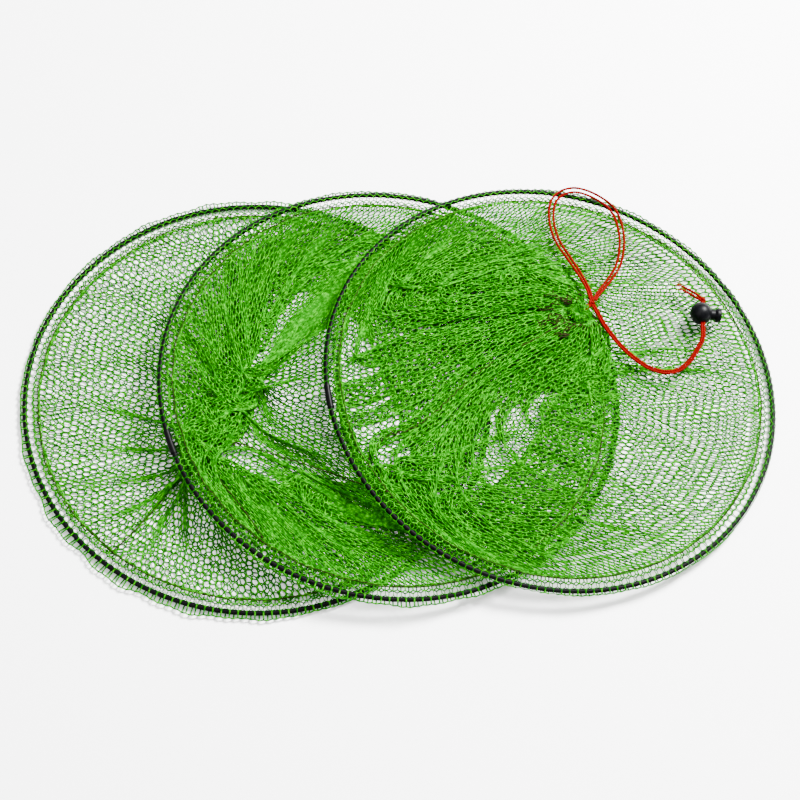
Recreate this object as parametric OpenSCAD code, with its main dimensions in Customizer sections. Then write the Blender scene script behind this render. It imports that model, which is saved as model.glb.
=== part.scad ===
// Folding crab trap: three spring-wire hoops carry a slack tube of netting with a closed
// bottom and a drawstring mouth. It is shown laid flat, with the hoops fanned to the right.
// The origin is on the surface that the trap rests on, under the centre of the bottom hoop.

/* [Hoops] */
// Diameter of each hoop, to the middle of its wire
hoop_d = 330; // [326:1:334]
// Thickness of the coated spring wire
wire_d = 3.5; // [3:0.1:3.8]
// Length of the sleeve that joins the two ends of a hoop's wire
sleeve_length = 18; // [14:1:24]
// Wall of that sleeve
sleeve_wall = 0.6; // [0.4:0.1:0.8]

/* [Lay] */
// How far to the right of the bottom hoop the middle hoop lies
middle_offset = 95; // [92:1:98]
// How far to the right of the bottom hoop the top hoop lies
top_offset = 212; // [209:1:215]
// Slope of the two upper hoops, whose left sides rest on the bunched netting
hoop_slope = 4; // [3.5:0.1:4.5]

/* [Netting] */
// Thickness of one layer of netting
net_t = 0.8; // [0.6:0.1:0.9]
// Distance from the middle of the wire in to the hem's stitching
hem_w = 9; // [8:0.5:10]
// How far the mouth netting sags between the top hoop and the neck
mouth_sag = 4; // [3:0.5:5]
// Thickness of the thread that sews the hems
thread_d = 0.7; // [0.5:0.1:0.9]
// Thickness of a side seam
seam_d = 1.2; // [1:0.1:1.4]

/* [Cord] */
// Thickness of the red cord
cord_d = 1.5; // [1.2:0.1:1.6]
// Distance between the two strands at the far end of the hanging loop
loop_spread = 4; // [2:0.5:5]

/* [Cord lock] */
// Diameter of the lock's ball
ball_d = 16.5; // [16:0.1:17]
// Diameter of the button's stem
stem_d = 8; // [7.6:0.1:8]
// Diameter of the button's flared head
head_d = 10.8; // [10:0.1:12]
// How far the button can be pressed
button_travel = 2.4; // [2:0.1:2.4]
// Diameter of the hole that the cord runs through
cord_hole_d = 5.2; // [5:0.1:5.4]

/* [Hidden] */

$fn = 48;
hoop_r = hoop_d / 2;
wire_r = wire_d / 2;
cord_r = cord_d / 2;
ball_r = ball_d / 2;
// Height of the bottom hoop's wire, which lies on its own netting
wire_z = 3;

// The hem is a tube of netting round the wire, with a flat flange inside it
hem_gap = 0.1;
hem_r = wire_r + hem_gap + 0.7;
flange_w = hem_w + 2;
joint_gap_deg = 0.1;
sleeve_deg = sleeve_length / hoop_r * 180 / PI;
hem_gap_deg = 0.3;

// Where each hoop's sleeve and its side seam lie round the hoop
bottom_sleeve_deg = 20;
middle_sleeve_deg = -164;
top_sleeve_deg = -175;
bottom_seam_deg = -132;
middle_seam_deg = -128;
top_seam_deg = -145;
// How far along its netting the seam that meets the top hoop reaches
seam_reach = 0.88;

// Centres of the three hoops
bottom_centre = [0, 0, wire_z];
middle_centre = [middle_offset, 0, wire_z + hoop_r * sin(hoop_slope)];
top_centre = [top_offset, 0, wire_z + hoop_r * sin(hoop_slope)];

// The netting leaves a hoop above its wire and reaches the next hoop under its flange
net_above = hem_r + 0.65;
net_below = -1.8;
// It passes under the wire on the left, so it ends lower there
net_drop = 2;
net_end_r = hoop_r - 7;
net_stations = 72;

// The gathered neck of the mouth, and the knot beside it
gather_centre = [238.5, 53, 19];
gather_r = 5;
gather_fold_r = 4;
neck_r = 10.5;
neck_z = 15;
knot_centre = [248.2, 60, 19];
knot_r = 2.8;

// The cord lock lies on the mouth netting, with the cord straight through it
lock_centre = [331, 51, 15];
lock_yaw = -10;
hole_x = 1.5;
bore_r = stem_d / 2 + 0.1;
bore_floor = -6.3;
button_inner = -1.9;
head_x = 12;
button_end = 14.5;
end_knot_y = 11.6;
end_knot_r = 2.2;
spring_d = 5.4;
spring_wire_d = 0.6;
spring_turns = 3;

// Middle line of the doubled cord, from the knot round the hanging loop and back
loop_route = [
    [249, 62, 19], [248, 76, 15.5], [244, 90, 13.6], [238, 104, 13.4], [232, 117, 13.8],
    [229, 130, 14.5], [229, 143, 15.5], [232, 154, 16.6], [239, 161, 17.3], [249, 164, 16.9],
    [259, 162, 16], [269, 156, 15.3], [277, 148, 14.4], [281, 137, 12.9], [282, 124, 11.6],
    [280, 111, 10.9], [276, 99, 10.8], [270, 89, 11.4], [263, 80, 12.6], [256, 71, 15.5],
    [251, 63, 19]
];
// Middle line of the doubled cord, from the knot to the end knot behind the lock
tail_route = [
    [249, 59, 19], [252, 53, 17.5], [256, 44, 15.6], [261, 35, 14.3], [267, 26, 13.1],
    [275, 17, 11.9], [285, 9, 10.7], [296, 5, 10], [307, 6, 9.9], [317, 13, 11], [324, 22, 13],
    lock_point([hole_x, -21, 0]), lock_point([hole_x, -10, 0]), lock_point([hole_x, 0, 0]),
    lock_point([hole_x, end_knot_y, 0])
];
// The two frayed ends, from the end knot
ends_route = [lock_point([hole_x, end_knot_y, 0]), [328, 69, 14], [322, 75, 12], [317, 80, 10.5]];

// A point given in the lock's own frame: X along the button, Y along the cord
function lock_point(p) = lock_centre + [
    p.x * cos(lock_yaw) - p.y * sin(lock_yaw),
    p.x * sin(lock_yaw) + p.y * cos(lock_yaw),
    p.z
];

// A point near a hoop: a is its angle, r its distance from the axis, h its height above the hoop
function hoop_point(centre, slope, a, r, h) = centre + [
    r * cos(a) * cos(slope) + h * sin(slope),
    r * sin(a),
    h * cos(slope) - r * cos(a) * sin(slope)
];

// Middle of each slack net: a is the angle round the hoop, s runs from hoop to hoop
function blend(p, q, s) = p * (1 - s) + q * s;
function end_height(a) = net_below - net_drop * (1 - cos(a)) / 2;
function lower_sheet(a, s) = blend(
    hoop_point(bottom_centre, 0, a, hoop_r, net_above),
    hoop_point(middle_centre, hoop_slope, a, net_end_r, end_height(a)), s);
function upper_sheet(a, s) = blend(
    hoop_point(middle_centre, hoop_slope, a, hoop_r, net_above),
    hoop_point(top_centre, hoop_slope, a, net_end_r, end_height(a)), s);
function neck_point(a) = [gather_centre.x, gather_centre.y, neck_z] + neck_r * [cos(a), sin(a), 0];
function mouth_sheet(a, s) = blend(
    hoop_point(top_centre, hoop_slope, a, hoop_r, net_above), neck_point(a), s
) - [0, 0, mouth_sag * 4 * s * (1 - s)];

// Unit vectors for a tube's rings
function unit(v) = v / norm(v);
function ahead(route, i) = unit(route[min(i + 1, len(route) - 1)] - route[max(i - 1, 0)]);
function beside(route, i) = unit(cross([0, 0, 1], ahead(route, i)));

// A route moved sideways: a little at its ends, and by the given amount half way along it
function strand(route, side, ends, middle) = [
    for (i = [0 : len(route) - 1])
        let (bulge = sin(180 * i / (len(route) - 1)))
        route[i] + side * beside(route, i) * (ends + (middle - ends) * bulge)
];

// A round tube along a route, with one ring at each of its points
module tube(route, r, sides = 8) {
    last = len(route) - 1;
    rings = [
        for (i = [0 : last], k = [0 : sides - 1])
            let (x = beside(route, i), y = cross(ahead(route, i), x), a = 360 * k / sides)
            route[i] + r * (cos(a) * x + sin(a) * y)
    ];
    walls = [
        for (i = [0 : last - 1], k = [0 : sides - 1])
            let (a = i * sides + k, b = i * sides + (k + 1) % sides)
            each [[a, b + sides, b], [a, a + sides, b + sides]]
    ];
    caps = [
        [for (k = [0 : sides - 1]) k],
        [for (k = [sides - 1 : -1 : 0]) last * sides + k]
    ];
    polyhedron(rings, concat(walls, caps));
}

// The direction across a sheet at one of its points
function across(sheet, a, s) = unit(cross(
    sheet(a + 1, s) - sheet(a - 1, s),
    sheet(a, min(s + 0.05, 1)) - sheet(a, max(s - 0.05, 0))
));

// A closed band of netting: a sheet all the way round, given its thickness
module net_band(sheet, rows) {
    loop = 2 * (rows + 1);
    skin = [
        for (i = [0 : net_stations - 1], j = [0 : loop - 1])
            let (
                front = j <= rows,
                a = 360 * i / net_stations,
                s = (front ? j : loop - 1 - j) / rows
            )
            sheet(a, s) + (front ? 0.5 : -0.5) * net_t * across(sheet, a, s)
    ];
    walls = [
        for (i = [0 : net_stations - 1], j = [0 : loop - 1])
            let (
                next_i = (i + 1) % net_stations,
                next_j = (j + 1) % loop,
                a = i * loop + j,
                b = next_i * loop + j,
                c = next_i * loop + next_j,
                d = i * loop + next_j
            )
            each [[a, c, b], [a, d, c]]
    ];
    polyhedron(skin, walls);
}

// Parts that repeat on the three hoops

module on_hoop(centre, slope) {
    translate(centre) rotate([0, slope, 0]) children();
}

module hoop_ring(start_deg, turn_deg) {
    rotate([0, 0, start_deg]) rotate_extrude(angle = turn_deg) translate([hoop_r, 0]) children();
}

module hoop(sleeve_at) {
    color("black")
        hoop_ring(sleeve_at + joint_gap_deg / 2, 360 - joint_gap_deg) circle(r = wire_r);
}

module hoop_sleeve(sleeve_at) {
    color("dimgray")
        hoop_ring(sleeve_at - sleeve_deg / 2, sleeve_deg)
            difference() {
                circle(r = wire_r + sleeve_wall);
                circle(r = wire_r);
            }
}

module hem(sleeve_at) {
    start_deg = sleeve_at + sleeve_deg / 2 + hem_gap_deg;
    color("limegreen")
        hoop_ring(start_deg, 360 - sleeve_deg - 2 * hem_gap_deg) {
            difference() {
                circle(r = hem_r);
                circle(r = wire_r + hem_gap);
            }
            translate([-flange_w, -net_t / 2]) square([flange_w - wire_r - 0.3, net_t]);
        }
}

module stitching() {
    color("saddlebrown")
        rotate_extrude() translate([hoop_r - hem_w, net_t / 2 + 0.25]) circle(d = thread_d);
}

module side_seam(sheet, from_deg, to_deg, rows, reach = 1) {
    lift = net_t / 2 + seam_d / 2 + 0.15;
    route = [
        for (i = [0 : rows])
            let (s = reach * i / rows)
            sheet(from_deg + (to_deg - from_deg) * s, s) + [0, 0, lift]
    ];
    color("olivedrab") tube(route, seam_d / 2);
}

// Bottom hoop and the closed bottom

module bottom_hoop() {
    on_hoop(bottom_centre, 0) hoop(bottom_sleeve_deg);
}

module bottom_hoop_sleeve() {
    on_hoop(bottom_centre, 0) hoop_sleeve(bottom_sleeve_deg);
}

module bottom_hem() {
    on_hoop(bottom_centre, 0) hem(bottom_sleeve_deg);
}

module bottom_stitching() {
    on_hoop(bottom_centre, 0) stitching();
}

// The bottom lies flat on the ground and rises to the hem round its rim
module bottom_net() {
    rim_r = hoop_r - flange_w - 0.2;
    flat_r = rim_r - 7;
    color("limegreen")
        rotate_extrude()
            polygon([
                [0, 0], [flat_r, 0], [rim_r, wire_z - net_t / 2],
                [rim_r, wire_z + net_t / 2], [flat_r, net_t], [0, net_t]
            ]);
}

// Middle hoop and the lower section of netting

module middle_hoop() {
    on_hoop(middle_centre, hoop_slope) hoop(middle_sleeve_deg);
}

module middle_hoop_sleeve() {
    on_hoop(middle_centre, hoop_slope) hoop_sleeve(middle_sleeve_deg);
}

module middle_hem() {
    on_hoop(middle_centre, hoop_slope) hem(middle_sleeve_deg);
}

module middle_stitching() {
    on_hoop(middle_centre, hoop_slope) stitching();
}

module lower_net() {
    color("limegreen") net_band(function (a, s) lower_sheet(a, s), 2);
}

module lower_side_seam() {
    side_seam(function (a, s) lower_sheet(a, s), bottom_seam_deg, middle_seam_deg, 4);
}

// Top hoop and the upper section of netting

module top_hoop() {
    on_hoop(top_centre, hoop_slope) hoop(top_sleeve_deg);
}

module top_hoop_sleeve() {
    on_hoop(top_centre, hoop_slope) hoop_sleeve(top_sleeve_deg);
}

module top_hem() {
    on_hoop(top_centre, hoop_slope) hem(top_sleeve_deg);
}

module top_stitching() {
    on_hoop(top_centre, hoop_slope) stitching();
}

module upper_net() {
    color("limegreen") net_band(function (a, s) upper_sheet(a, s), 2);
}

// The seam goes in under the top hoop's wire, so it shows only up to there
module upper_side_seam() {
    side_seam(function (a, s) upper_sheet(a, s), middle_seam_deg, top_seam_deg, 4, seam_reach);
}

// Mouth: a cone of netting that the drawstring gathers to a neck

module mouth_net() {
    color("limegreen") net_band(function (a, s) mouth_sheet(a, s), 6);
}

module mouth_side_seam() {
    side_seam(function (a, s) mouth_sheet(a, s), top_seam_deg, top_seam_deg, 6);
}

// The mouth's hem, puckered into a ring round the drawstring
module mouth_gather() {
    color("green")
        translate(gather_centre) rotate_extrude() translate([gather_r, 0])
            difference() {
                circle(r = gather_fold_r);
                circle(r = cord_r + 0.1);
            }
}

// The drawstring goes once round inside the gather, and its two ends, drawn a little
// thinner by the pull, come out to the knot
module drawstring() {
    to_knot = knot_centre - gather_centre;
    reach = norm([to_knot.x, to_knot.y]);
    pulled_r = 0.8 * cord_r;
    color("red") translate(gather_centre) {
        rotate_extrude() translate([gather_r, 0]) circle(r = cord_r);
        rotate([0, 0, atan2(to_knot.y, to_knot.x)])
            for (side = [-1, 1])
                translate([gather_r - 0.3, side * (pulled_r + 0.05), 0])
                    rotate([0, 90, 0]) cylinder(h = reach - gather_r - 0.7, r = pulled_r);
    }
}

module loop_knot() {
    color("red") translate(knot_centre) sphere(r = knot_r);
}

// The doubled cord's strands

module loop_outer_strand() {
    color("red") tube(strand(loop_route, 1, cord_r, loop_spread / 2), cord_r);
}

module loop_inner_strand() {
    color("red") tube(strand(loop_route, -1, cord_r, loop_spread / 2), cord_r);
}

module tail_left_strand() {
    color("red") tube(strand(tail_route, 1, cord_r, cord_d * 0.6), cord_r);
}

module tail_right_strand() {
    color("red") tube(strand(tail_route, -1, cord_r, cord_d * 0.6), cord_r);
}

module end_knot() {
    color("red") translate(lock_point([hole_x, end_knot_y, 0])) sphere(r = end_knot_r);
}

module cord_ends() {
    color("red")
        for (side = [-1, 1])
            tube(strand(ends_route, side, cord_r + 0.1, cord_d), cord_r);
}

// Ball lock on the tail: the sprung button nips the cord, and frees it when pressed

module at_lock() {
    translate(lock_centre) rotate([0, 0, lock_yaw]) children();
}

module lock_body() {
    color("black") at_lock()
        difference() {
            rotate([0, 90, 0]) rotate_extrude()
                difference() {
                    intersection() {
                        circle(r = ball_r);
                        translate([0, -ball_r]) square([ball_r, ball_d]);
                    }
                    translate([0, bore_floor]) square([bore_r, ball_d]);
                }
            translate([hole_x, 0, 0]) rotate([90, 0, 0])
                cylinder(h = ball_d + 2, d = cord_hole_d, center = true);
        }
}

module lock_button() {
    slot_left = hole_x - 1.7;
    slot_w = 2 * (hole_x - slot_left) + button_travel;
    slot_h = 3.2;
    color("black") at_lock()
        difference() {
            union() {
                translate([button_inner, 0, 0]) rotate([0, 90, 0])
                    cylinder(h = head_x - button_inner, d = stem_d);
                translate([head_x - 2, 0, 0]) rotate([0, 90, 0])
                    cylinder(h = 2, d1 = stem_d, d2 = head_d);
                translate([head_x, 0, 0]) rotate([0, 90, 0])
                    cylinder(h = button_end - head_x, d = head_d);
            }
            translate([slot_left, -stem_d, -slot_h / 2]) cube([slot_w, 2 * stem_d, slot_h]);
        }
}

module lock_spring() {
    length = button_inner - bore_floor - spring_wire_d;
    steps = 12 * spring_turns;
    route = [
        for (i = [0 : steps])
            let (a = 30 * i)
            [
                bore_floor + spring_wire_d / 2 + 0.05 + (length - 0.1) * i / steps,
                spring_d / 2 * cos(a),
                spring_d / 2 * sin(a)
            ]
    ];
    color("silver") at_lock() tube(route, spring_wire_d / 2, 6);
}

bottom_hoop();
bottom_hoop_sleeve();
bottom_hem();
bottom_stitching();
bottom_net();
middle_hoop();
middle_hoop_sleeve();
middle_hem();
middle_stitching();
lower_net();
lower_side_seam();
top_hoop();
top_hoop_sleeve();
top_hem();
top_stitching();
upper_net();
upper_side_seam();
mouth_net();
mouth_side_seam();
mouth_gather();
drawstring();
loop_knot();
loop_outer_strand();
loop_inner_strand();
tail_left_strand();
tail_right_strand();
end_knot();
cord_ends();
lock_body();
lock_button();
lock_spring();
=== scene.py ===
import math

import bpy
import numpy as np
from mathutils import Matrix, Vector


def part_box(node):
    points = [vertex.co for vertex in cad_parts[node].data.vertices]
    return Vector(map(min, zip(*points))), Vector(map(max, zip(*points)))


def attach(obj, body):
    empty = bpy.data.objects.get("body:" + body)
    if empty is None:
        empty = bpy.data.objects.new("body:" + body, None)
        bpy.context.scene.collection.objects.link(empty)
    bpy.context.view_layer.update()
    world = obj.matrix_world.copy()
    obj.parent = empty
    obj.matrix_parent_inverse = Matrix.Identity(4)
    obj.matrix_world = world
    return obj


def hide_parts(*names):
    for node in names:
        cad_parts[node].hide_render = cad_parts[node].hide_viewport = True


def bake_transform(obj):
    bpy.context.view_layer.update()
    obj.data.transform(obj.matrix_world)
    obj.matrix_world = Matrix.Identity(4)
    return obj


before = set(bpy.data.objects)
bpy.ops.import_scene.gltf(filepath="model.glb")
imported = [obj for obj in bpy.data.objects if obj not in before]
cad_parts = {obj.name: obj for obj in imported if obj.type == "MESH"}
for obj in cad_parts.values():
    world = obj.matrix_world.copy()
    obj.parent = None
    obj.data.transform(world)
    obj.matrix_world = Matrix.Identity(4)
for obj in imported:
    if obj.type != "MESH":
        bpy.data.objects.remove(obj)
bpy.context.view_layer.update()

# The shape is worked out in millimetres, in the part's frame. Each mesh is turned into metres as it is made.
MM = 0.001
SCENE = bpy.context.scene


# ---------------------------------------------------------------- camera

CAMERA_ELEVATION = math.radians(61.17)
CAMERA_AZIMUTH = math.radians(-13.03)
CAMERA_ROLL = math.radians(9.42)
CAMERA_DISTANCE = 1206.5
CAMERA_TARGET = np.array([101.4, -5.2, 0.0])
CAMERA_LENS = 75.07


def make_camera():
    """The photograph's view: from above the near side, turned a little to the left, and leaning."""
    az, el = CAMERA_AZIMUTH, CAMERA_ELEVATION
    back = np.array([math.sin(az) * math.cos(el), -math.cos(az) * math.cos(el), math.sin(el)])
    right = np.array([math.cos(az), math.sin(az), 0.0])
    up = np.cross(back, right)
    leaned_right = math.cos(CAMERA_ROLL) * right + math.sin(CAMERA_ROLL) * up
    leaned_up = -math.sin(CAMERA_ROLL) * right + math.cos(CAMERA_ROLL) * up
    place = (CAMERA_TARGET + back * CAMERA_DISTANCE) * MM
    data = bpy.data.cameras.new("camera")
    data.lens = CAMERA_LENS
    data.sensor_width = 36.0
    data.clip_end = 20.0
    camera = bpy.data.objects.new("camera", data)
    columns = np.column_stack([leaned_right, leaned_up, back])
    matrix = np.eye(4)
    matrix[:3, :3] = columns
    matrix[:3, 3] = place
    camera.matrix_world = Matrix(matrix.tolist())
    SCENE.collection.objects.link(camera)
    SCENE.camera = camera


make_camera()


# ---------------------------------------------------------------- sizes

def middle(node):
    """Middle of a CAD node's box, in millimetres."""
    low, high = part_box(node)
    return np.array((low + high) / 2) / MM


# Hoops: radius to the middle of the wire, the wire itself, and the slope of the two upper ones
HOOP_R = 165.0
WIRE_R = 1.75
SLOPE = math.radians(4)

# Hems: the stitching's radius, and how far from the wire's middle the netting passes round it
STITCH_R = HOOP_R - 9
HEM_R = WIRE_R + 0.8

# Netting: cells round a hem and round a section, the step from row to row, and the strands
HEM_CELLS = 185
HEM_ROWS = 6
BODY_CELLS = 236
BODY_ROW = 4.65
MOUTH_ROW = 5.1
BOTTOM_CELL = 4.4
STRAND_D = 1.2
HEM_STRAND_D = 1.15
WIRE_STRAND_D = 0.7
BAGGED_STRAND_D = 1.3
PLEAT_STRAND_D = 0.8
GROUND_GAP = 1.4

# Where the hoops, the neck and the cord lock are
BOTTOM = middle("bottom_hoop")
MIDDLE = middle("middle_hoop")
TOP = middle("top_hoop")
GATHER = middle("mouth_gather")
NECK = np.array([GATHER[0], GATHER[1], 15.0])
NECK_R = 8.0
LOCK = np.array([331.0, 51.0, 15.0])
LOCK_YAW = math.radians(-10)

# The cord, and its two plies as shares of its diameter: how far off its middle, and their radius
CORD_D = 1.5
PLY_OFFSET = 0.27
PLY_R = 0.46

# Round each hoop, in degrees: its sleeve, and the side seam's end
SLEEVE_AT = {"bottom": 20.0, "middle": -164.0, "top": -175.0}
SEAM_AT = {"bottom": -132.0, "middle": -128.0, "top": -145.0}


def lock_point(x, y, z):
    """A point given in the cord lock's own frame, X along its button and Y along the cord."""
    c, s = math.cos(LOCK_YAW), math.sin(LOCK_YAW)
    return LOCK + np.array([x * c - y * s, x * s + y * c, z])


# The doubled cord's routes: the hanging loop, the tail through the lock, and the frayed ends
LOOP_ROUTE = np.array([
    [249, 62, 19], [248, 76, 15.5], [244, 90, 13.6], [238, 104, 13.4], [232, 117, 13.8],
    [229, 130, 14.5], [229, 143, 15.5], [232, 154, 16.6], [239, 161, 17.3], [249, 164, 16.9],
    [259, 162, 16], [269, 156, 15.3], [277, 148, 14.4], [281, 137, 12.9], [282, 124, 11.6],
    [280, 111, 10.9], [276, 99, 10.8], [270, 89, 11.4], [263, 80, 12.6], [256, 71, 15.5],
    [251, 63, 19],
], float)
TAIL_ROUTE = np.array([
    [249, 59, 19], [252, 53, 17.5], [256, 44, 15.6], [261, 35, 14.3], [267, 26, 13.1],
    [275, 17, 11.9], [285, 9, 10.7], [296, 5, 10], [307, 6, 9.9], [317, 13, 11], [324, 22, 13],
    lock_point(1.5, -21, 0), lock_point(1.5, -10, 0), lock_point(1.5, 0, 0), lock_point(1.5, 11.6, 0),
], float)
ENDS_ROUTE = np.array([lock_point(1.5, 11.6, 0), [328, 69, 14], [322, 75, 12], [317, 80, 10.5]], float)


# ---------------------------------------------------------------- curves

def unit(v):
    return v / np.maximum(np.linalg.norm(v, axis=-1, keepdims=True), 1e-9)


def smooth_line(points, step=0.6, closed=False):
    """A smooth curve through points, with points of its own a step apart."""
    p = np.asarray(points, float)
    if closed:
        p = np.vstack([p[-1], p, p[0], p[1]])
    else:
        p = np.vstack([2 * p[0] - p[1], p, 2 * p[-1] - p[-2]])
    fine = []
    for i in range(1, len(p) - 2):
        t = np.linspace(0, 1, 24, endpoint=False)[:, None]
        a, b, c, d = p[i - 1], p[i], p[i + 1], p[i + 2]
        fine.append(0.5 * (
            2 * b + (c - a) * t + (2 * a - 5 * b + 4 * c - d) * t**2 + (3 * b - a - 3 * c + d) * t**3
        ))
    fine = np.vstack(fine + [p[-2][None]])
    along = np.concatenate([[0], np.cumsum(np.linalg.norm(np.diff(fine, axis=0), axis=1))])
    count = max(4, int(round(along[-1] / step)) + 1)
    wanted = np.linspace(0, along[-1], count)
    return np.column_stack([np.interp(wanted, along, fine[:, k]) for k in range(3)])


def line_length(line):
    return float(np.linalg.norm(np.diff(line, axis=0), axis=1).sum())


def side_by_side(route, side, ends, middle_gap):
    """One strand of a doubled cord: the route moved sideways, by less at its ends."""
    n = len(route)
    before = np.vstack([route[:1], route[:-1]])
    after = np.vstack([route[1:], route[-1:]])
    beside = unit(np.cross([0, 0, 1], unit(after - before)))
    bulge = np.sin(np.pi * np.arange(n) / (n - 1))[:, None]
    return route + side * beside * (ends + (middle_gap - ends) * bulge)


def line_frames(line, closed=False):
    """Two directions across a curve at each of its points, turning no more than they must."""
    if closed:
        ahead = unit(np.roll(line, -1, 0) - np.roll(line, 1, 0))
    else:
        ahead = unit(np.gradient(line, axis=0))
    across = np.zeros_like(line)
    first = np.cross([0, 0, 1.0], ahead[0])
    across[0] = unit(first if np.linalg.norm(first) > 1e-3 else np.array([1.0, 0, 0]))
    for i in range(1, len(line)):
        v = across[i - 1] - ahead[i] * (across[i - 1] @ ahead[i])
        across[i] = v / max(np.linalg.norm(v), 1e-9)
    return across, np.cross(ahead, across)


# ---------------------------------------------------------------- meshes

def mesh_object(name, points, faces, material, smooth=True):
    """A mesh from points in millimetres and faces of one size."""
    mesh = bpy.data.meshes.new(name)
    points = np.asarray(points, float)
    faces = np.asarray(faces, np.int32)
    mesh.vertices.add(len(points))
    mesh.vertices.foreach_set("co", (points * MM).astype(np.float32).ravel())
    mesh.loops.add(faces.size)
    mesh.loops.foreach_set("vertex_index", faces.ravel())
    mesh.polygons.add(len(faces))
    mesh.polygons.foreach_set("loop_start", np.arange(0, faces.size, faces.shape[1], dtype=np.int32))
    mesh.update(calc_edges=True)
    mesh.validate()
    if smooth:
        mesh.polygons.foreach_set("use_smooth", np.ones(len(mesh.polygons), bool))
    mesh.materials.append(material)
    obj = bpy.data.objects.new(name, mesh)
    SCENE.collection.objects.link(obj)
    return obj


def tube_parts(line, radius, sides=6, closed=False):
    """Points and four-cornered faces of a tube along a line; its ends taper to nothing."""
    x, y = line_frames(line, closed)
    n = len(line)
    r = np.broadcast_to(np.asarray(radius, float), (n,)).copy()
    if not closed:
        r[0] *= 0.15
        r[-1] *= 0.15
    a = 2 * np.pi * np.arange(sides) / sides
    ring = np.cos(a)[None, :, None] * x[:, None] + np.sin(a)[None, :, None] * y[:, None]
    points = (line[:, None] + r[:, None, None] * ring).reshape(-1, 3)
    rows = np.arange(n if closed else n - 1)
    i, k = np.meshgrid(rows, np.arange(sides), indexing="ij")
    j, m = (i + 1) % n, (k + 1) % sides
    faces = np.stack([i * sides + k, i * sides + m, j * sides + m, j * sides + k], -1).reshape(-1, 4)
    return points, faces


def join_parts(parts):
    """Several (points, faces) pairs as one."""
    points, faces, count = [], [], 0
    for p, f in parts:
        points.append(p)
        faces.append(f + count)
        count += len(p)
    return np.vstack(points), np.vstack(faces)


def twisted_parts(line, diameter, pitch=3.6, sides=6, phase=0.0):
    """A two-ply twisted cord along a line."""
    x, y = line_frames(line)
    along = np.concatenate([[0], np.cumsum(np.linalg.norm(np.diff(line, axis=0), axis=1))])
    parts = []
    for ply in (0, 1):
        turn = 2 * np.pi * along / pitch + np.pi * ply + phase
        centre = line + diameter * PLY_OFFSET * (np.cos(turn)[:, None] * x + np.sin(turn)[:, None] * y)
        parts.append(tube_parts(centre, diameter * PLY_R, sides))
    return join_parts(parts)


def strand_parts(start, end, diameter, sides=3):
    """Open prisms, one from each start to its end: the straight strands of a net."""
    ahead = unit(end - start)
    reference = np.where(np.abs(ahead[:, 2:3]) > 0.9, np.array([[1.0, 0, 0]]), np.array([[0, 0, 1.0]]))
    x = unit(np.cross(ahead, reference))
    y = np.cross(x, ahead)
    a = np.pi / 2 + 2 * np.pi * np.arange(sides) / sides
    ring = np.cos(a)[None, :, None] * x[:, None] + np.sin(a)[None, :, None] * y[:, None]
    r = np.broadcast_to(np.asarray(diameter, float) / 2, (len(start),))[:, None, None]
    reach = 0.12 * ahead
    points = np.concatenate([(start - reach)[:, None] + r * ring, (end + reach)[:, None] + r * ring], 1)
    base = np.arange(len(start))[:, None] * 2 * sides
    k = np.arange(sides)
    m = (k + 1) % sides
    faces = np.stack([base + k, base + m, base + sides + m, base + sides + k], -1).reshape(-1, 4)
    return points.reshape(-1, 3), faces


def strand_uv(obj, count, sides=3):
    """A place of its own on the texture for each strand."""
    across = int(math.ceil(math.sqrt(count)))
    strand = np.arange(count)
    corner = np.stack([strand % across, strand // across], -1)[:, None, None] + 0.12
    k = np.arange(sides)
    u0, u1 = 0.76 * k / sides, 0.76 * (k + 1) / sides
    local = np.stack([
        np.stack([u0, 0 * u0], -1), np.stack([u1, 0 * u0], -1),
        np.stack([u1, 0 * u0 + 0.76], -1), np.stack([u0, 0 * u0 + 0.76], -1),
    ], 1)[None]
    uv = ((corner + local) / across).reshape(-1, 2)
    layer = obj.data.uv_layers.new(name="OFBake")
    layer.data.foreach_set("uv", uv.astype(np.float32).ravel())


def net_object(name, start, end, diameter, material):
    points, faces = strand_parts(start, end, diameter)
    obj = mesh_object(name, points, faces, material)
    strand_uv(obj, len(start))
    return obj


def hoop_points(centre, slope, angle, r, h):
    """Points near a hoop: angle round it, r from its axis, h above it."""
    x, y = r * np.cos(angle), r * np.sin(angle)
    c, s = math.cos(slope), math.sin(slope)
    return np.stack([centre[0] + x * c + h * s, centre[1] + y, centre[2] + h * c - x * s], -1)


# ---------------------------------------------------------------- how the netting drapes

AROUND = 180
LOWER_ROWS, UPPER_ROWS, MOUTH_ROWS = 36, 36, 40
MIDDLE_ROW = LOWER_ROWS
TOP_ROW = LOWER_ROWS + UPPER_ROWS
ALL_ROWS = TOP_ROW + MOUTH_ROWS + 1
SECTION_LENGTH = 200.0
MOUTH_LENGTH = 225.0
ANGLES = 2 * np.pi * np.arange(AROUND) / AROUND
SECTION = np.repeat([0, 1, 2], [LOWER_ROWS, UPPER_ROWS, MOUTH_ROWS + 1])
SECTION_SPANS = ((0, MIDDLE_ROW), (MIDDLE_ROW, TOP_ROW), (TOP_ROW, ALL_ROWS))

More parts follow.
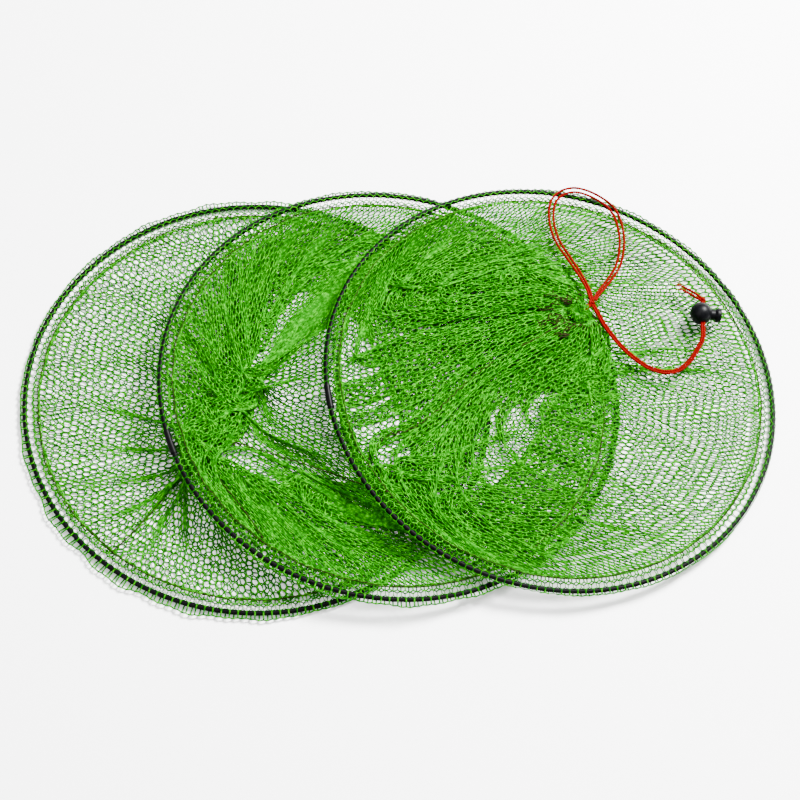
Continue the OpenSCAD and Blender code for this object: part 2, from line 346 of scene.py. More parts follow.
# Where the slack half way along each section is drawn to: degrees round the tube, and the place on the ground
LOWER_FOLD = np.array([
    [-180, -14, -8], [-165, -14, -22], [-150, -22, -35], [-135, -34, -50], [-120, -10, -72],
    [-105, 20, -85], [-90, 50, -90], [-75, 90, -92], [-60, 122, -90], [-45, 140, -72],
    [-30, 138, -42], [-15, 128, -15], [0, 128, 5], [15, 140, 30], [30, 175, 60], [45, 165, 90],
    [60, 130, 102], [75, 98, 105], [90, 58, 112], [105, 22, 105], [120, -18, 62], [135, -28, 42],
    [150, -20, 22], [165, -12, 6], [180, -14, -8],
], float)
UPPER_FOLD = np.array([
    [-180, 76, 4], [-165, 42, -44], [-150, 12, -74], [-135, 20, -90], [-120, 50, -92], [-105, 85, -92],
    [-90, 118, -100], [-75, 150, -116], [-60, 186, -116], [-45, 212, -96], [-30, 232, -60], [-15, 247, -28],
    [0, 248, 8], [15, 248, 34], [30, 245, 58], [45, 232, 74], [60, 215, 88], [75, 188, 98],
    [90, 148, 104], [105, 104, 112], [120, 68, 114], [135, 26, 104], [150, 20, 74], [165, 64, 30],
    [180, 76, 4],
], float)
MOUTH_FOLD = np.array([
    [-180, 130, 25], [-145, 135, -20], [-120, 160, -45], [-90, 215, -50], [-60, 245, -28], [-30, 258, 8],
    [0, 245, 30], [30, 222, 50], [60, 200, 60], [90, 185, 62], [120, 160, 65], [150, 140, 55], [180, 130, 25],
], float)
FOLDS = ((LOWER_FOLD, 47.0), (UPPER_FOLD, 153.0), (MOUTH_FOLD, 212.0))

# How the netting comes down, step by step, in millimetres, and what pulls it
LAYER = 1.1
WEIGHT = 0.35
SPEED_KEPT = 0.93
FASTEST = 3.0
FOLD_PULL = 0.30
FOLD_NEAR = 45
PLEAT_PULL = 0.22

# How much wider the netting is than a hoop, and how far it may crowd: what is seen, and what is under it
FULLNESS = 0.15
SEEN_CROWDING = 0.9
UNDER_CROWDING = 0.7

# Where the slack has gathered: how many layers more than elsewhere, how far out, and along which line
MASSES = (
    (22, 28, ((-44, -34), (-26, -10), (-14, 14))),
    (5, 13, ((-50, -50), (-74, -84), (-100, -112))),
    (1, 20, ((20, 30), (34, -30), (92, -12))),
    (6, 9, ((-112, -120), (-92, -100), (-72, -84), (-52, -66))),
    (6, 25, ((-30, -80), (-10, -80), (20, -84), (62, -84), (112, -84))),
    (3, 14, ((14, -120), (60, -112), (110, -118))),
    (6, 24, ((-4, 112), (30, 116), (66, 112), (100, 104), (134, 92), (168, 90), (196, 90))),
    (3, 18, ((-40, 44), (-30, 70), (-6, 96))),
    (3, 12, ((4, 44), (10, 62), (24, 88))),
    (2, 26, ((112, 60), (150, 50), (190, 40))),
    (7, 22, ((204, 84), (222, 62), (240, 44), (236, 22), (206, 26))),
    (3, 16, ((236, 10), (262, 20), (258, -10))),
    (3, 14, ((150, -4), (172, 14))),
    (4, 12, ((118, -104), (138, -86), (142, -60), (142, -20))),
    (2, 9, ((84, -80), (112, -52), (136, -18))),
    (3, 16, ((140, -126), (170, -118), (206, -112), (224, -98))),
    (1, 14, ((234, -34), (232, -66))),
    (1, 16, ((200, -10), (222, -30))),
)
DENSITY_PULL = 1.5
FAR_PULL = 4.0


def smooth_noise(rng, shape, passes):
    n = rng.standard_normal(shape)
    for _ in range(passes):
        n = (n + np.roll(n, 1, 0) + np.roll(n, -1, 0)) / 3
        n[:, 1:-1] = (n[:, 1:-1] + n[:, 2:] + n[:, :-2]) / 3
    return n / n.std()


def fold_places(t, noise):
    """Where the slack is drawn to when the hoops are the share t of the way down."""
    out = np.zeros((AROUND, ALL_ROWS, 3))
    turned = np.degrees(np.arctan2(np.sin(ANGLES), np.cos(ANGLES)))
    for (low, high), (table, offset) in zip(SECTION_SPANS, FOLDS):
        out[:, low:high, 0] = (np.interp(turned, table[:, 0], table[:, 1]) - offset * (1 - t))[:, None]
        out[:, low:high, 1] = np.interp(turned, table[:, 0], table[:, 2])[:, None]
    out[..., :2] += noise * 10
    return out


# A grid of ground points, to count the layers over
GROUND_STEP = 5.0
GROUND_EDGE = 190
GROUND_X, GROUND_Y = np.meshgrid(
    np.arange(-GROUND_EDGE, 400, GROUND_STEP), np.arange(-GROUND_EDGE, GROUND_EDGE + 1, GROUND_STEP),
    indexing="ij",
)


def wanted_layers():
    """How many layers of netting should lie over each ground point, near enough."""
    spots = np.stack([GROUND_X, GROUND_Y], -1)
    layers = np.zeros(GROUND_X.shape)
    for centre, netting in ((BOTTOM, 2.5), (MIDDLE, 4.0), (TOP, 2.5)):
        layers += netting * (np.hypot(GROUND_X - centre[0], GROUND_Y) < HOOP_R)
    for more, reach, points in MASSES:
        line = smooth_line(np.column_stack([np.array(points, float), np.zeros(len(points))]), 4.0)[:, :2]
        d = np.linalg.norm(line[None, None] - spots[:, :, None], axis=-1).min(-1)
        layers += more * np.exp(-0.5 * (np.maximum(d - 0.4 * reach, 0) / (0.7 * reach)) ** 2)
    return blurred(layers, 7)


def blurred(grid, passes):
    for _ in range(passes):
        padded = np.pad(grid, 1, mode="edge")
        grid = (padded[:-2] + padded[1:-1] + padded[2:])[:, 1:-1] / 3
        padded = np.pad(grid, 1, mode="edge")
        grid = (padded[:, :-2] + padded[:, 1:-1] + padded[:, 2:])[1:-1] / 3
    return grid


def top_layer(cloth):
    """Which points of the netting have nothing over them."""
    gx = ((cloth[..., 0] + GROUND_EDGE) / 4).astype(int)
    gy = ((cloth[..., 1] + GROUND_EDGE) / 4).astype(int)
    spot = gx * 1000 + gy
    high = np.zeros(spot.max() + 1)
    np.maximum.at(high, spot.ravel(), cloth[..., 2].ravel())
    return (cloth[..., 2] > high[spot] - 1.0)[..., None]


def settling_push(cloth, area, wanted):
    """The sideways push on each point from where there is too much netting to where there is too little."""
    gx = np.clip(((cloth[..., 0] + GROUND_EDGE) / GROUND_STEP + 0.5).astype(int), 0, wanted.shape[0] - 1)
    gy = np.clip(((cloth[..., 1] + GROUND_EDGE) / GROUND_STEP + 0.5).astype(int), 0, wanted.shape[1] - 1)
    count = np.bincount((gx * wanted.shape[1] + gy).ravel(), area.ravel(), wanted.size).reshape(wanted.shape)
    excess = blurred(count / GROUND_STEP**2, 4) - wanted
    slope = np.stack(np.gradient(excess + FAR_PULL * blurred(excess, 36)), -1)
    push = -slope[gx, gy]
    size = np.linalg.norm(push, axis=-1, keepdims=True) + 1e-9
    return push / size * np.minimum(size, 1.0)


def pull_together(cloth, weight, rest, axis, slack, push):
    """Keeps neighbours along one axis from stretching apart, and a little from crowding."""
    for off in (0, 1):
        if axis == 0:
            a = np.arange(off, AROUND, 2)
            b = (a + 1) % AROUND
            ia, ib = (a,), (b,)
            r = rest
        else:
            a = np.arange(off, ALL_ROWS - 1, 2)
            ia, ib = (slice(None), a), (slice(None), a + 1)
            r = rest[:, a]
        d = cloth[ib] - cloth[ia]
        length = np.sqrt((d * d).sum(-1, keepdims=True)) + 1e-9
        wa, wb = weight[ia], weight[ib]
        open_to = slack[ia] if isinstance(slack, np.ndarray) else slack
        change = np.maximum(length - r, 0) + np.minimum(length - r * open_to, 0) * push
        move = change / length / (wa + wb + 1e-9) * d
        cloth[ia] += wa * move
        cloth[ib] -= wb * move


def resist_bending(cloth, weight, rest, axis, span, keep, push):
    """Keeps cloth a few stations apart from doubling up sharply."""
    if axis == 0:
        d = np.roll(cloth, -span, 0) - cloth
        length = np.sqrt((d * d).sum(-1, keepdims=True)) + 1e-9
        move = np.minimum(length - rest * span * keep, 0) * push / length * d
        cloth += weight * move
        cloth -= np.roll(move * np.roll(weight, -span, 0), span, 0)
    else:
        d = cloth[:, span:] - cloth[:, :-span]
        length = np.sqrt((d * d).sum(-1, keepdims=True)) + 1e-9
        move = np.minimum(length - rest[:, :1] * span * keep, 0) * push / length * d
        cloth[:, :-span] += weight[:, :-span] * move
        cloth[:, span:] -= weight[:, span:] * move


def clear_hoops(cloth, free, centres):
    """Each section passes over or under each hoop's wire."""
    x, y, z = cloth[..., 0], cloth[..., 1], cloth[..., 2]
    for centre, slope, sides in zip(centres, (0.0, SLOPE, SLOPE), ((1, 1, 1), (-1, 1, 1), (-1, -1, 1))):
        c, s = math.cos(slope), math.sin(slope)
        along = (x - centre[0]) * c - (z - centre[2]) * s
        up = (x - centre[0]) * s + (z - centre[2]) * c
        out = np.sqrt(along**2 + y**2) - HOOP_R
        side = np.asarray(sides)[SECTION][None, :]
        reach = HEM_R + 0.75
        want = side * np.sqrt(np.maximum(reach**2 - out**2, 0))
        fix = (np.abs(out) < reach) & free & (side * up < side * want) & (np.abs(up) < 14)
        z += np.where(fix, want - up, 0)


def stay_inside(cloth, free, centres):
    """No section hangs out beyond the hoops that it joins."""
    x, y = cloth[..., 0], cloth[..., 1]
    for s, (a, b) in enumerate(((0, 1), (1, 2), (2, 2))):
        near = np.clip(x, min(centres[a][0], centres[b][0]), max(centres[a][0], centres[b][0]))
        dx = x - near
        d = np.sqrt(dx**2 + y**2) + 1e-9
        limit = HOOP_R + 1.0 if s < 2 else STITCH_R + 1.0
        k = np.where((d > limit) & free & (SECTION == s)[None, :], limit / d, 1.0)
        x[...] = near + dx * k
        y[...] = y * k


def stack_layers(cloth, free):
    """Cloth over the same spot of ground lies in layers, each one a strand's thickness up."""
    flat = cloth.reshape(-1, 3)
    index = np.arange(len(flat))
    i, j = index // ALL_ROWS, index % ALL_ROWS
    cell_x = np.floor((flat[:, 0] + 300) / 5).astype(np.int64)
    cell_y = np.floor((flat[:, 1] + 300) / 5).astype(np.int64)
    cell = cell_x * 4096 + cell_y
    order = np.lexsort((flat[:, 2], cell))
    cells, z, i, j = cell[order], flat[order, 2], i[order], j[order]
    di = np.abs(np.diff(i))
    di = np.minimum(di, AROUND - di)
    new = np.diff(cells) != 0
    step = np.where(new | ((di <= 2) & (np.abs(np.diff(j)) <= 2)), 0.0, LAYER)
    up = np.concatenate([[0], np.cumsum(step)])
    group = np.concatenate([[0], np.cumsum(new)]) * 1e5
    lifted = np.maximum.accumulate(z - up + group) - group + up
    rise = np.where(free.ravel()[order], np.clip(lifted - z, 0, 1.5), 0)
    height = flat[:, 2].copy()
    height[order] += rise
    cloth[..., 2] = height.reshape(cloth.shape[:2])


def ceiling_height(x, y):
    """How high the netting may stand: it lies under the cord and the cord lock."""
    high = np.full(x.shape, 60.0)
    for route, spread in ((LOOP_ROUTE, 5.0), (TAIL_ROUTE[:12], 4.0), (ENDS_ROUTE, 5.0)):
        for p in smooth_line(route, 2.5)[2:]:
            d = np.hypot(x - p[0], y - p[1])
            high = np.minimum(high, p[2] - 1.25 + np.maximum(d - spread, 0) * 1.2)
    for reach in (0.0, 6.0, 11.5):
        p = lock_point(reach, 0, 0)
        r = 8.25 if reach == 0 else 5.6
        d = np.hypot(x - p[0], y - p[1])
        under = LOCK[2] - np.sqrt(np.maximum(r**2 - d**2, 0)) - 0.6
        high = np.minimum(high, np.where(d < r, under, LOCK[2] + (d - r) * 3))
    return high


def drape(steps, settle, passes):
    """The netting tube, from a straight column to where it lies as the hoops come down and fan out."""
    rng = np.random.default_rng(3)
    lift_middle = np.array([-95.0, 0, 188.4])
    lift_top = lift_middle + np.array([-117.0, 0, 200.0])
    lift_neck = lift_top + np.array([-26.5, -53.0, 169.5])
    rest_around = np.full((1, ALL_ROWS, 1), 2 * np.pi * HOOP_R / AROUND)
    rest_along = np.concatenate([
        np.full(TOP_ROW, SECTION_LENGTH / LOWER_ROWS), np.full(MOUTH_ROWS, MOUTH_LENGTH / MOUTH_ROWS),
    ])[None, :, None]
    rest_along_full = np.concatenate([rest_along, rest_along[:, -1:]], 1)
    neck_ring = NECK + NECK_R * np.stack([np.cos(ANGLES), np.sin(ANGLES), 0 * ANGLES], -1)

    def held(t):
        k = 1 - t
        return (
            (0, hoop_points(BOTTOM, 0, ANGLES, STITCH_R, 0.4)),
            (MIDDLE_ROW, hoop_points(MIDDLE + lift_middle * k, SLOPE, ANGLES, STITCH_R, 0.0)),
            (TOP_ROW, hoop_points(TOP + lift_top * k, SLOPE, ANGLES, STITCH_R, 0.6)),
            (ALL_ROWS - 1, neck_ring + lift_neck * k),
        )

    cloth = np.zeros((AROUND, ALL_ROWS, 3))
    start = held(0)
    for (a, ring_a), (b, ring_b) in zip(start[:-1], start[1:]):
        s = np.linspace(0, 1, b - a + 1)[None, :, None]
        cloth[:, a:b + 1] = ring_a[:, None] * (1 - s) + ring_b[:, None] * s
    weight = np.ones((AROUND, ALL_ROWS, 1))
    weight[:, [0, MIDDLE_ROW, TOP_ROW, ALL_ROWS - 1]] = 0
    free = weight[..., 0] > 0
    share = np.concatenate([
        np.arange(LOWER_ROWS) / LOWER_ROWS, np.arange(UPPER_ROWS) / UPPER_ROWS,
        np.arange(MOUTH_ROWS + 1) / MOUTH_ROWS,
    ])
    bulge = np.sin(np.pi * share)[None, :, None]
    rest_around *= 1 + FULLNESS * np.minimum(1, 1.6 * bulge)
    inward = -np.stack([np.cos(ANGLES), np.sin(ANGLES), 0 * ANGLES], -1)[:, None]
    sideways = np.stack([-np.sin(ANGLES), np.cos(ANGLES), 0 * ANGLES], -1)[:, None]
    cloth += inward * (6 + 5 * smooth_noise(rng, (AROUND, ALL_ROWS), 6)[..., None]) * bulge
    cloth[..., 2] += 4 * smooth_noise(rng, (AROUND, ALL_ROWS), 6) * bulge[..., 0]
    wander = np.stack([smooth_noise(rng, (AROUND, ALL_ROWS), 14) for _ in range(2)], -1)
    phases = rng.uniform(0, 2 * np.pi, (3, 3))
    pleats = np.zeros((AROUND, ALL_ROWS, 1))
    for (low, high), phase in zip(SECTION_SPANS, phases):
        wave = sum(
            np.sin(k * ANGLES + phase[q] + 1.5 * np.sin(2 * ANGLES + q)) for q, k in enumerate((13, 22, 31))
        )
        pleats[:, low:high, 0] = wave[:, None] / 1.7
    high_limit = None
    wanted = wanted_layers()
    crowding = np.full((AROUND, ALL_ROWS, 1), UNDER_CROWDING)
    area = np.broadcast_to(rest_around[..., 0] * rest_along_full[..., 0], (AROUND, ALL_ROWS))
    speed = np.zeros_like(cloth)
    for n in range(steps + settle):
        t = min(1.0, (n + 1) / steps)
        t = t * t * (3 - 2 * t)
        before = cloth.copy()
        speed *= SPEED_KEPT
        speed[..., 2:] -= WEIGHT * weight
        to = fold_places(t, wander) - cloth
        to[..., 2] = 0
        far = np.sqrt((to * to).sum(-1, keepdims=True)) + 1e-9
        pull = FOLD_PULL * (n < 0.8 * steps)
        speed += to / far * np.minimum(1, far / FOLD_NEAR) * pull * bulge**2 * weight
        speed += sideways * pleats * bulge * weight * PLEAT_PULL * (1.0 if n < 1.2 * steps else 0.3)
        if n > 0.5 * steps:
            seen = top_layer(cloth)
            crowding = np.where(seen, SEEN_CROWDING, UNDER_CROWDING)
            push = DENSITY_PULL * settling_push(cloth, area, wanted)
            speed[..., :2] += push * weight * np.where(seen, 0.5, 1.0)
        rate = np.sqrt((speed * speed).sum(-1, keepdims=True))
        speed *= np.minimum(1, FASTEST / (rate + 1e-9))
        cloth += speed * weight
        rings = held(t)
        for row, ring in rings:
            cloth[:, row] = ring
        for _ in range(passes):
            pull_together(cloth, weight, rest_around, 0, crowding, 0.35)
            pull_together(cloth, weight, rest_along, 1, 0.9, 0.6)
        resist_bending(cloth, weight, rest_around, 0, 3, 0.75, 0.15)
        resist_bending(cloth, weight, rest_along, 1, 3, 0.95, 0.25)
        for row, ring in rings:
            cloth[:, row] = ring
        speed = (cloth - before) * weight
        centres = (BOTTOM, MIDDLE + lift_middle * (1 - t), TOP + lift_top * (1 - t))
        clear_hoops(cloth, free, centres)
        stay_inside(cloth, free, centres)
        np.maximum(cloth[..., 2], GROUND_GAP, out=cloth[..., 2], where=free)
        stack_layers(cloth, free)
        if n >= steps + settle - 12:
            if high_limit is None or n % 4 == 0:
                high_limit = ceiling_height(cloth[..., 0], cloth[..., 1])
            cloth[..., 2] = np.where(free, np.minimum(cloth[..., 2], high_limit), cloth[..., 2])
        speed[..., 2] = np.where(cloth[..., 2] > before[..., 2], 0.0, speed[..., 2])

    held_rows = [row for row, _ in rings]
    for _ in range(2):
        kept = cloth[:, held_rows].copy()
        cloth += 0.25 * (np.roll(cloth, 1, 0) + np.roll(cloth, -1, 0) - 2 * cloth)
        cloth[:, 1:-1] += 0.25 * (cloth[:, 2:] + cloth[:, :-2] - 2 * cloth[:, 1:-1])
        cloth[:, held_rows] = kept
        clear_hoops(cloth, free, centres)
        np.maximum(cloth[..., 2], GROUND_GAP, out=cloth[..., 2], where=free)
        stack_layers(cloth, free)
    high_limit = ceiling_height(cloth[..., 0], cloth[..., 1])
    cloth[..., 2] = np.where(free, np.minimum(cloth[..., 2], high_limit), cloth[..., 2])
    return cloth


CLOTH = drape(260, 120, 6)


def on_cloth(turn, row):
    """Smooth position on the draped cloth: turn in turns round it, row in rows along it."""
    u = np.asarray(turn, float) * AROUND
    v = np.clip(np.asarray(row, float), 0, ALL_ROWS - 1 - 1e-6)
    iu, iv = np.floor(u).astype(int), np.floor(v).astype(int)
    fu, fv = u - iu, v - iv

    def weights(f):
        return (
            -0.5 * f + f**2 - 0.5 * f**3, 1 - 2.5 * f**2 + 1.5 * f**3,
            0.5 * f + 2 * f**2 - 1.5 * f**3, -0.5 * f**2 + 0.5 * f**3,
        )

    wu, wv = weights(fu), weights(fv)
    out = 0
    for a in range(4):
        for b in range(4):
            place = CLOTH[(iu + a - 1) % AROUND, np.clip(iv + b - 1, 0, ALL_ROWS - 1)]
            out = out + (wu[a] * wv[b])[..., None] * place
    return out


# ---------------------------------------------------------------- materials

def new_material(name):
    material = bpy.data.materials.new(name)
    material.use_nodes = True
    tree = material.node_tree
    return material, tree, tree.nodes["Principled BSDF"]


def noise_node(tree, scale, detail=3.0, rough=0.6):
    place = tree.nodes.new("ShaderNodeTexCoord")
    noise = tree.nodes.new("ShaderNodeTexNoise")
    noise.inputs["Scale"].default_value = scale
    noise.inputs["Detail"].default_value = detail
    noise.inputs["Roughness"].default_value = rough
    tree.links.new(place.outputs["Object"], noise.inputs["Vector"])
    return noise


def ramp_node(tree, source, stops):
    ramp = tree.nodes.new("ShaderNodeValToRGB")
    tree.links.new(source, ramp.inputs["Fac"])
    elements = ramp.color_ramp.elements
    while len(elements) < len(stops):
        elements.new(0.5)
    for element, (position, colour) in zip(elements, stops):
        element.position = position
        element.color = (*colour, 1)
    return ramp


def speckled(name, scale, stops, roughness, bump=0.0, bump_scale=1500.0, spread=0.12, specular=0.5,
             tint=(1.0, 1.0, 1.0)):
    """A finish whose colour and gloss vary over the surface, with a fine texture."""
    material, tree, shader = new_material(name)
    noise = noise_node(tree, scale)
    ramp = ramp_node(tree, noise.outputs["Fac"], stops)
    tree.links.new(ramp.outputs["Color"], shader.inputs["Base Color"])
    gloss = tree.nodes.new("ShaderNodeMapRange")
    gloss.inputs["To Min"].default_value = roughness - spread
    gloss.inputs["To Max"].default_value = roughness + spread
    tree.links.new(noise.outputs["Fac"], gloss.inputs["Value"])
    tree.links.new(gloss.outputs["Result"], shader.inputs["Roughness"])
    shader.inputs["Specular IOR Level"].default_value = specular
    shader.inputs["Specular Tint"].default_value = (*tint, 1)
    if bump:
        fine = noise_node(tree, bump_scale, 2.0)
        node = tree.nodes.new("ShaderNodeBump")
        node.inputs["Strength"].default_value = bump
        node.inputs["Distance"].default_value = 0.0002
        tree.links.new(fine.outputs["Fac"], node.inputs["Height"])
        tree.links.new(node.outputs["Normal"], shader.inputs["Normal"])
    return material


NETTING = speckled("netting", 420.0, [
    (0.34, (0.0002, 0.038, 0.0)), (0.50, (0.0015, 0.104, 0.0)), (0.66, (0.032, 0.275, 0.0)),
], 0.5, specular=0.06, tint=(0.5, 1.0, 0.05))
THREAD = speckled("hem_thread", 700.0, [
    (0.3, (0.003, 0.004, 0.0005)), (0.7, (0.014, 0.013, 0.002)),
], 0.75, specular=0.05)
RED_CORD = speckled("red_cord", 900.0, [
    (0.3, (0.055, 0.0001, 0.0002)), (0.7, (0.115, 0.0002, 0.0004)),
], 0.6, bump=0.4, bump_scale=3500.0, specular=0.06, tint=(1.0, 0.1, 0.1))
WIRE = speckled("hoop_wire", 260.0, [
    (0.3, (0.0003, 0.0003, 0.0004)), (0.7, (0.0009, 0.0009, 0.0012)),
], 0.45, bump=0.15, bump_scale=1800.0, spread=0.08, specular=0.03)
SLEEVE = speckled("hoop_sleeve", 340.0, [
    (0.3, (0.0003, 0.0003, 0.0004)), (0.7, (0.0010, 0.0010, 0.0012)),
], 0.4, bump=0.1, bump_scale=1200.0, spread=0.06, specular=0.05)
PLASTIC = speckled("lock_plastic", 300.0, [
    (0.3, (0.0003, 0.0003, 0.0005)), (0.7, (0.0009, 0.0010, 0.0016)),
], 0.4, bump=0.25, bump_scale=2600.0, spread=0.08, specular=0.06)
STEEL = speckled("spring_steel", 500.0, [
    (0.3, (0.42, 0.42, 0.44)), (0.7, (0.60, 0.60, 0.62)),
], 0.25)
STEEL.node_tree.nodes["Principled BSDF"].inputs["Metallic"].default_value = 1.0


def paint(node, material):
    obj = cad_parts[node]
    obj.data.materials.clear()
    obj.data.materials.append(material)
    for polygon in obj.data.polygons:
        polygon.material_index = 0


for ring in ("bottom", "middle", "top"):
    paint(f"{ring}_hoop", WIRE)
    paint(f"{ring}_hoop_sleeve", SLEEVE)
paint("lock_body", PLASTIC)
paint("lock_button", PLASTIC)
paint("lock_spring", STEEL)


# ---------------------------------------------------------------- netting

def blend_along(obj, share):
    """Puts a height worked out from share into obj's points for a moment, applies the object's transform to
    the mesh, then puts the points back as they were.
    """
    mesh = obj.data
    kept = np.zeros(len(mesh.vertices) * 3, np.float32)
    mesh.vertices.foreach_get("co", kept)
    bind = np.zeros((len(mesh.vertices), 3), np.float32)
    bind[:, 2] = 0.5 - np.sin(np.arcsin(1 - 2 * np.clip(share, 0, 1)) / 3)
    mesh.vertices.foreach_set("co", bind.ravel())
    mesh.update()
    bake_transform(obj)
    mesh.vertices.foreach_set("co", kept)
    mesh.update()


def tube_lattice(rows, cells):
    """Hexagonal netting round a tube: the turn, and the row along it, of each strand's two ends."""
    j, k = np.meshgrid(np.arange(rows + 1), np.arange(2 * cells), indexing="ij")
    tooth = np.where((j + k) % 2 == 0, 1, -1) / 6
    knots = np.stack([k / (2 * cells), j + tooth], -1)
    beside = np.stack([(k + 1) / (2 * cells), j - tooth], -1)
    bonds = ((j + k) % 2 == 0) & (j < rows)
    above = np.stack([k / (2 * cells), j + 5 / 6], -1)
    start = np.concatenate([knots.reshape(-1, 2), knots[bonds]])
    end = np.concatenate([beside.reshape(-1, 2), above[bonds]])
    return start, end


def section_net(name, first_row, last_row, length, row_step=BODY_ROW):
    """One section of the draped tube as netting."""
    rows = int(round(length / row_step))
    start, end = tube_lattice(rows, BODY_CELLS)
    span = last_row - first_row
    p = on_cloth(start[:, 0], first_row + np.clip(start[:, 1] / rows, 0, 1) * span)
    q = on_cloth(end[:, 0], first_row + np.clip(end[:, 1] / rows, 0, 1) * span)
    keep = np.linalg.norm(q - p, axis=1) > 0.05
    start, end, p, q = start[keep], end[keep], p[keep], q[keep]
    p[:, 2] = np.maximum(p[:, 2], 0.5)
    q[:, 2] = np.maximum(q[:, 2], 0.5)
    obj = net_object(name + "_netting", p, q, STRAND_D, NETTING)
    share = np.repeat(np.stack([start[:, 1], end[:, 1]], 1) / rows, 3, axis=1).reshape(-1)
    blend_along(obj, share)
    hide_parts(name)
    return obj


lower_net = section_net("lower_net", 0, MIDDLE_ROW, SECTION_LENGTH)
upper_net = section_net("upper_net", MIDDLE_ROW, TOP_ROW, SECTION_LENGTH)
mouth_net = section_net("mouth_net", TOP_ROW, ALL_ROWS - 1, MOUTH_LENGTH, MOUTH_ROW)


def bottom_netting():
    """The closed bottom: a flat disc of netting, laid on the ground and rising to the hem."""
    reach = int(STITCH_R / (BOTTOM_CELL / 2)) + 4
    j, k = np.meshgrid(np.arange(-reach, reach), np.arange(-reach, reach), indexing="ij")
    tooth = np.where((j + k) % 2 == 0, 1, -1) * BODY_ROW / 6
    across, along = k * BOTTOM_CELL / 2, j * BODY_ROW
    knot = np.stack([along + tooth, across], -1)
    beside = np.stack([along - tooth, across + BOTTOM_CELL / 2], -1)
    above = np.stack([along + BODY_ROW * 5 / 6, across], -1)
    bonds = (j + k) % 2 == 0
    start = np.concatenate([knot.reshape(-1, 2), knot[bonds]])
    end = np.concatenate([beside.reshape(-1, 2), above[bonds]])
    edge = STITCH_R + 1.0
    keep = np.minimum(np.hypot(*start.T), np.hypot(*end.T)) < edge
    start, end = start[keep], end[keep]

    def lay(p):
        turn = 0.12
        p = p @ np.array([[math.cos(turn), -math.sin(turn)], [math.sin(turn), math.cos(turn)]])
        x, y = p[:, 0], p[:, 1]
        p = p + np.stack([
            1.6 * np.sin(y / 23 + 1) + 0.7 * np.sin(y / 9),
            1.9 * np.sin(x / 31 + 2) + 1.3 * np.sin(y / 8 + x / 60) + 0.8 * np.sin(y / 4.7 - x / 45),
        ], -1)
        r = np.hypot(*p.T)
        p = p * np.minimum(1, edge / np.maximum(r, 1e-6))[:, None]
        r = np.hypot(*p.T)
        rise = np.clip((r - (STITCH_R - 11)) / 11, 0, 1)
        z = 0.45 + 0.25 * (1 + np.sin(p[:, 0] / 11) * np.sin(p[:, 1] / 14)) + (BOTTOM[2] - 1.2) * rise**1.5
        return np.stack([p[:, 0] + BOTTOM[0], p[:, 1] + BOTTOM[1], z], -1)

    start, end = lay(start), lay(end)
    keep = np.linalg.norm(end - start, axis=1) > 0.05
    return net_object("bottom_net_netting", start[keep], end[keep], STRAND_D, NETTING)


bottom_net = bottom_netting()
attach(bottom_net, "bottom_ring")
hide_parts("bottom_net")


# ---------------------------------------------------------------- hems

def hem_profile(count=60):
    """A hem's cross-section, radius and height: out over the wire, round it, and back underneath."""
    r = HEM_R - 0.35
    a = np.linspace(np.radians(125), np.radians(-125), count)
    round_wire = np.stack([HOOP_R + r * np.cos(a), r * np.sin(a)], -1)
    inner = np.stack([np.linspace(STITCH_R - 1.5, HOOP_R - 3, 20), np.linspace(0.55, 1.35, 20)], -1)
    return np.vstack([inner, round_wire, inner[::-1] * [1, -1]])


# Where the netting bags out past each wire: the angle, how far to each side, and how much
HEM_BAGS = {
    "bottom": ((222, 24, 1.9), (262, 20, 0.8), (100, 34, 1.3)),
    "middle": ((268, 26, 1.1), (96, 16, 0.6)),
    "top": ((58, 22, 0.7), (285, 22, 0.5)),
}


def hem_netting(ring, centre, slope, body):
    """The netting folded over a hoop's wire, left off where the sleeve is."""
    profile = hem_profile()
    along = np.concatenate([[0], np.cumsum(np.linalg.norm(np.diff(profile, axis=0), axis=1))])
    start, end = tube_lattice(HEM_ROWS, HEM_CELLS)

    def place(p):
        s = np.clip(p[:, 1] / HEM_ROWS, 0, 1) * along[-1]
        r, h = np.interp(s, along, profile[:, 0]), np.interp(s, along, profile[:, 1])
        angle = 2 * np.pi * p[:, 0]
        sway = 0.35 * np.sin(37 * angle + 3 * np.sin(5 * angle))
        r = r + sway * (r < HOOP_R - 3)
        slack = sum(
            amount * np.exp(-0.5 * (((np.degrees(angle) - at + 180) % 360 - 180) / reach) ** 2)
            for at, reach, amount in HEM_BAGS[ring]
        )
        ripple = 1 + 0.3 * np.sin(19 * angle) + 0.2 * np.sin(43 * angle + 1)
        r = r + slack * np.clip(r - HOOP_R, 0, None) * ripple
        return hoop_points(centre, slope, angle, r, h), np.degrees(angle), r

    p, angle, r = place(start)
    q, _, r_end = place(end)
    gap = np.abs((angle - SLEEVE_AT[ring] + 180) % 360 - 180)
    on_wire = np.maximum(r, r_end) > HOOP_R - 3.2
    keep = ~(on_wire & (gap < 3.6)) & (np.linalg.norm(q - p, axis=1) > 0.05)
    p[:, 2] = np.maximum(p[:, 2], 0.45)
    q[:, 2] = np.maximum(q[:, 2], 0.45)
    bagged = np.maximum(r, r_end) > HOOP_R + HEM_R
    thickness = np.where(bagged, BAGGED_STRAND_D, np.where(on_wire, WIRE_STRAND_D, HEM_STRAND_D))
    obj = net_object(f"{ring}_hem_netting", p[keep], q[keep], thickness[keep], NETTING)
    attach(obj, body)
    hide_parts(f"{ring}_hem")


